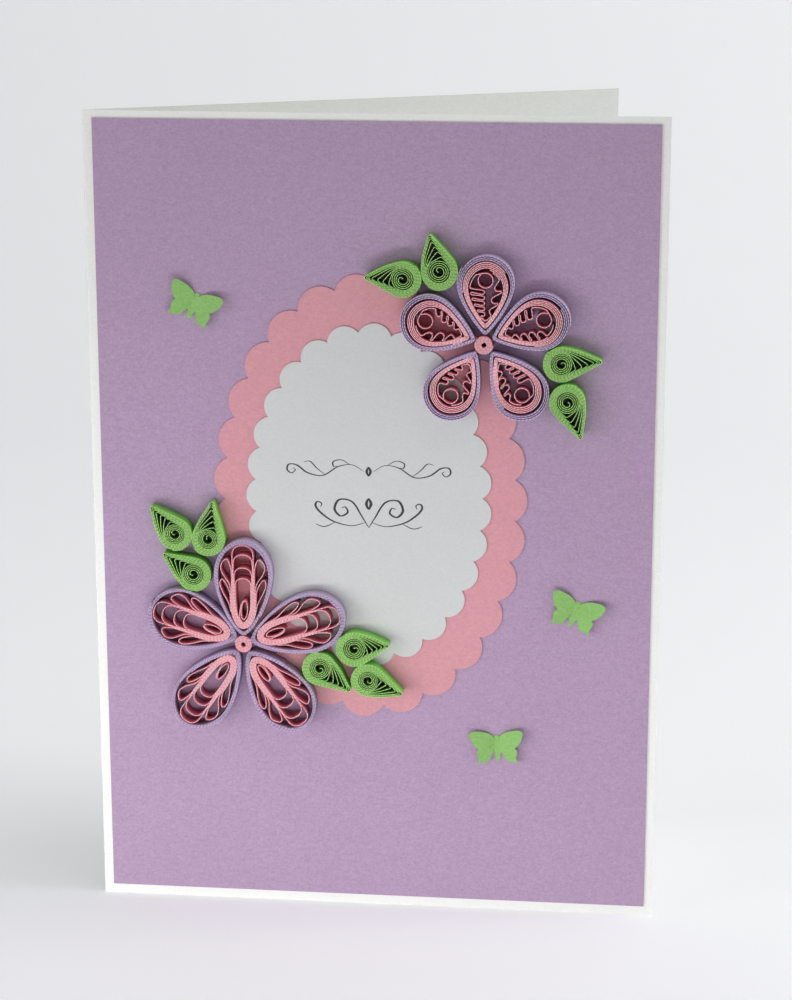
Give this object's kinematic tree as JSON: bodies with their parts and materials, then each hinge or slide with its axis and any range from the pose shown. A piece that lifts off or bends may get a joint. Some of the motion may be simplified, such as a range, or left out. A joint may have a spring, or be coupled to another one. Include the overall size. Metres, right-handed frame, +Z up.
{
  "type": "standing greeting card with quilled flowers",
  "caption": "Folded card that stands on its edge, decorated with scalloped ovals, quilled paper flowers and leaves, and punched butterflies.",
  "frame": {"origin": "centre of the bounding box's bottom, on the surface that the card stands on", "axes": "+Z up the card's height, the decorated front faces -Y, the fold is on the left at -X"},
  "size_m": [0.105, 0.0506, 0.15],
  "materials": {
    "white_card": "matt card",
    "lilac_paper": "matt, fine grain",
    "pink_paper": "matt",
    "white_paper": "matt",
    "lilac_strip": "matt strip on edge",
    "pink_strip": "matt strip on edge",
    "green_strip": "matt strip on edge",
    "green_paper": "matt"
  },
  "bodies": {
    "root": {"card_base": "white_card", "lilac_panel": "lilac_paper", "pink_oval": "pink_paper", "white_oval": "white_paper", "low_centre": "pink_strip", "high_centre": "pink_strip", "low_wall_1": "lilac_strip", "low_loops_1": "pink_strip", "high_wall_1": "lilac_strip", "high_band_1": "pink_strip", "high_loops_1": "pink_strip", "low_wall_2": "lilac_strip", "low_loops_2": "pink_strip", "high_wall_2": "lilac_strip", "high_band_2": "pink_strip", "high_loops_2": "pink_strip", "low_wall_3": "lilac_strip", "low_loops_3": "pink_strip", "high_wall_3": "lilac_strip", "high_band_3": "pink_strip", "high_loops_3": "pink_strip", "low_wall_4": "lilac_strip", "low_loops_4": "pink_strip", "high_wall_4": "lilac_strip", "high_band_4": "pink_strip", "high_loops_4": "pink_strip", "low_wall_5": "lilac_strip", "low_loops_5": "pink_strip", "high_wall_5": "lilac_strip", "high_band_5": "pink_strip", "high_loops_5": "pink_strip", "leaf_a1": "green_strip", "leaf_a2": "green_strip", "leaf_a3": "green_strip", "leaf_b1": "green_strip", "leaf_b2": "green_strip", "leaf_b3": "green_strip", "leaf_c1": "green_strip", "leaf_c2": "green_strip", "leaf_d1": "green_strip", "leaf_d2": "green_strip", "butterfly_1": "green_paper", "butterfly_2": "green_paper", "butterfly_3": "green_paper"}
  },
  "joints": []
}
